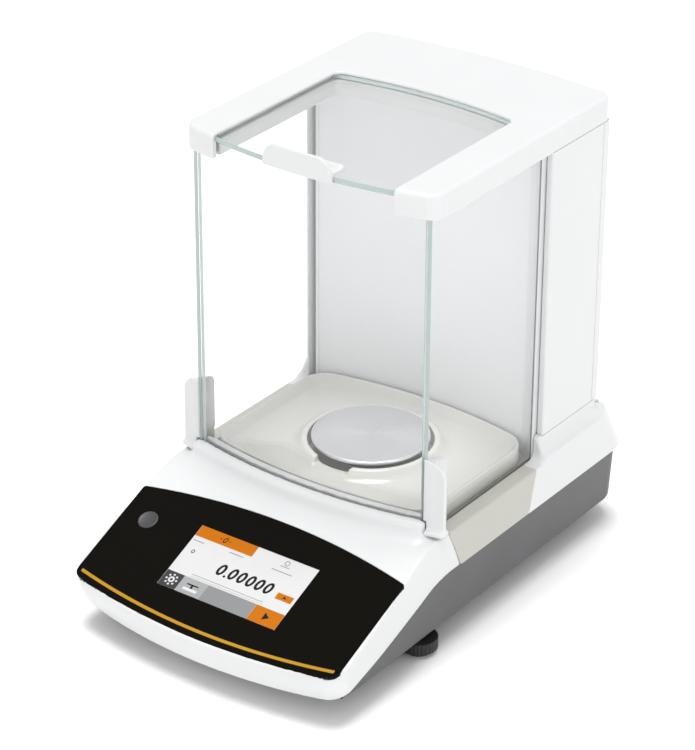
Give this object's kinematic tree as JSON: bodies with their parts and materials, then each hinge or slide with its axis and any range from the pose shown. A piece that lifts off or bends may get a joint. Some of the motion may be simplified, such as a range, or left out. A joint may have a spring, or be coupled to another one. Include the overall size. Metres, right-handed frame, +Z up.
{
  "type": "analytical balance",
  "caption": "Laboratory analytical balance with a sliding-door glass weighing chamber, round steel pan, touch display and levelling feet.",
  "frame": {"origin": "bottom centre of the whole balance, on the surface it stands on", "axes": "+Z up, -Y towards the operator (the display side), +X to the operator's right, +Y to the rear"},
  "size_m": [0.2156, 0.36, 0.328],
  "materials": {
    "white_plastic": "satin, very light cool grey moulding",
    "cream_plastic": "matt warm grey moulding",
    "dark_grey_plastic": "matt dark grey moulding",
    "black_panel": "polished near-black front foil",
    "gold_trim": "satin golden orange line",
    "screen": "lit pale touch screen",
    "circuit_board": "green board",
    "button_grey": "matt grey key",
    "polished_steel": "brushed stainless steel",
    "cast_aluminium": "bare machined casting",
    "clear_glass": "clear float glass, green on its edges",
    "grey_wall": "smooth pale grey rear wall",
    "rubber_grey": "matt rubber",
    "black_plastic": "matt black",
    "brass": "turned brass",
    "level_liquid": "yellow-green spirit"
  },
  "bodies": {
    "chassis": {"lower_housing": "dark_grey_plastic", "foot_bushings": "polished_steel", "front_housing": "white_plastic", "display_panel": "black_panel", "accent_stripe": "gold_trim", "display_screen": "screen", "display_module": "circuit_board", "button_switch": "black_plastic", "chamber_base": "cream_plastic", "load_port_ring": "black_plastic", "cell_block": "cast_aluminium", "magnet_pot": "polished_steel", "position_sensor": "black_plastic", "cal_motor": "black_plastic", "base_casting": "cast_aluminium", "hook_cover": "black_plastic", "main_board": "circuit_board", "base_screws": "polished_steel", "rear_housing": "white_plastic", "tower_side_right": "white_plastic", "tower_side_left": "white_plastic", "tower_back": "white_plastic", "rear_wall": "grey_wall", "wall_seals": "grey_wall", "roof_frame": "white_plastic", "front_glass": "clear_glass", "rear_feet": "rubber_grey", "connector_plate": "black_plastic", "power_inlet": "black_plastic", "usb_port": "polished_steel", "usb_tongue": "black_plastic", "serial_port": "black_plastic", "level_ring": "polished_steel", "level_vial": "level_liquid"},
    "right_door": {"right_door_glass": "clear_glass", "right_door_handle": "white_plastic", "right_door_carrier": "white_plastic"},
    "left_door": {"left_door_glass": "clear_glass", "left_door_handle": "white_plastic", "left_door_carrier": "white_plastic"},
    "top_door": {"top_door_glass": "clear_glass", "top_door_handle": "white_plastic", "top_door_carrier": "white_plastic"},
    "receiver": {"load_receiver": "cast_aluminium"},
    "pan": {"weighing_pan": "polished_steel", "pan_support": "cast_aluminium"},
    "shield": {"shield_plate": "cream_plastic"},
    "beam": {"cell_beam": "cast_aluminium"},
    "power_key": {"power_button": "button_grey"},
    "left_foot": {"left_foot_pad": "rubber_grey"},
    "left_screw": {"left_foot_wheel": "black_plastic", "left_foot_spindle": "polished_steel"},
    "right_foot": {"right_foot_pad": "rubber_grey"},
    "right_screw": {"right_foot_wheel": "black_plastic", "right_foot_spindle": "polished_steel"},
    "cal_lift": {"cal_weight": "brass", "cal_carriage": "dark_grey_plastic"},
    "cal_screw": {"cal_spindle": "polished_steel"}
  },
  "joints": [
    {"name": "right_door_slide", "type": "slide", "parent": "chassis", "child": "right_door", "axis": [0, 1, 0], "range_m": [0, 0.098]},
    {"name": "left_door_slide", "type": "slide", "parent": "chassis", "child": "left_door", "axis": [0, 1, 0], "range_m": [0, 0.098]},
    {"name": "top_door_slide", "type": "slide", "parent": "chassis", "child": "top_door", "axis": [0, 1, 0], "range_m": [0, 0.11]},
    {"name": "receiver_travel", "type": "slide", "parent": "chassis", "child": "receiver", "axis": [0, 0, 1], "range_m": [-0.0003, 0], "stiffness_N_per_m": 12000, "springref_m": 0.0004},
    {"name": "pan_lift", "type": "slide", "parent": "receiver", "child": "pan", "axis": [0, 0, 1], "range_m": [0, 0.12]},
    {"name": "shield_lift", "type": "slide", "parent": "chassis", "child": "shield", "axis": [0, 0, 1], "range_m": [0, 0.09]},
    {"name": "beam_tilt", "type": "hinge", "parent": "chassis", "child": "beam", "pos_m": [0, 0.036, 0.05], "axis": [1, 0, 0], "range_deg": [0, 2]},
    {"name": "power_key_press", "type": "slide", "parent": "chassis", "child": "power_key", "axis": [0, -0.3884, 0.9215], "range_m": [-0.0012, 0], "stiffness_N_per_m": 500, "springref_m": 0.0006},
    {"name": "left_foot_height", "type": "slide", "parent": "chassis", "child": "left_foot", "axis": [0, 0, 1], "range_m": [-0.0045, 0]},
    {"name": "left_foot_turn", "type": "hinge", "parent": "left_foot", "child": "left_screw", "pos_m": [-0.093, -0.06, 0.007], "axis": [0, 0, 1], "range_deg": [-1620.1, 0]},
    {"name": "right_foot_height", "type": "slide", "parent": "chassis", "child": "right_foot", "axis": [0, 0, 1], "range_m": [-0.0045, 0]},
    {"name": "right_foot_turn", "type": "hinge", "parent": "right_foot", "child": "right_screw", "pos_m": [0.093, -0.06, 0.007], "axis": [0, 0, 1], "range_deg": [-1620.1, 0]},
    {"name": "cal_lift_travel", "type": "slide", "parent": "chassis", "child": "cal_lift", "axis": [0, 0, 1], "range_m": [0, 0.0005]},
    {"name": "cal_screw_turn", "type": "hinge", "parent": "chassis", "child": "cal_screw", "pos_m": [0, -0.03, 0.038], "axis": [0, 0, 1], "range_deg": [0, 180.1]}
  ],
  "couplings": [
    {"joint": "beam_tilt", "follows": "receiver_travel", "rad_per_m": -111.11},
    {"joint": "left_foot_turn", "follows": "left_foot_height", "rad_per_m": 6283.2},
    {"joint": "right_foot_turn", "follows": "right_foot_height", "rad_per_m": 6283.2},
    {"joint": "cal_screw_turn", "follows": "cal_lift_travel", "rad_per_m": 6283.2}
  ]
}
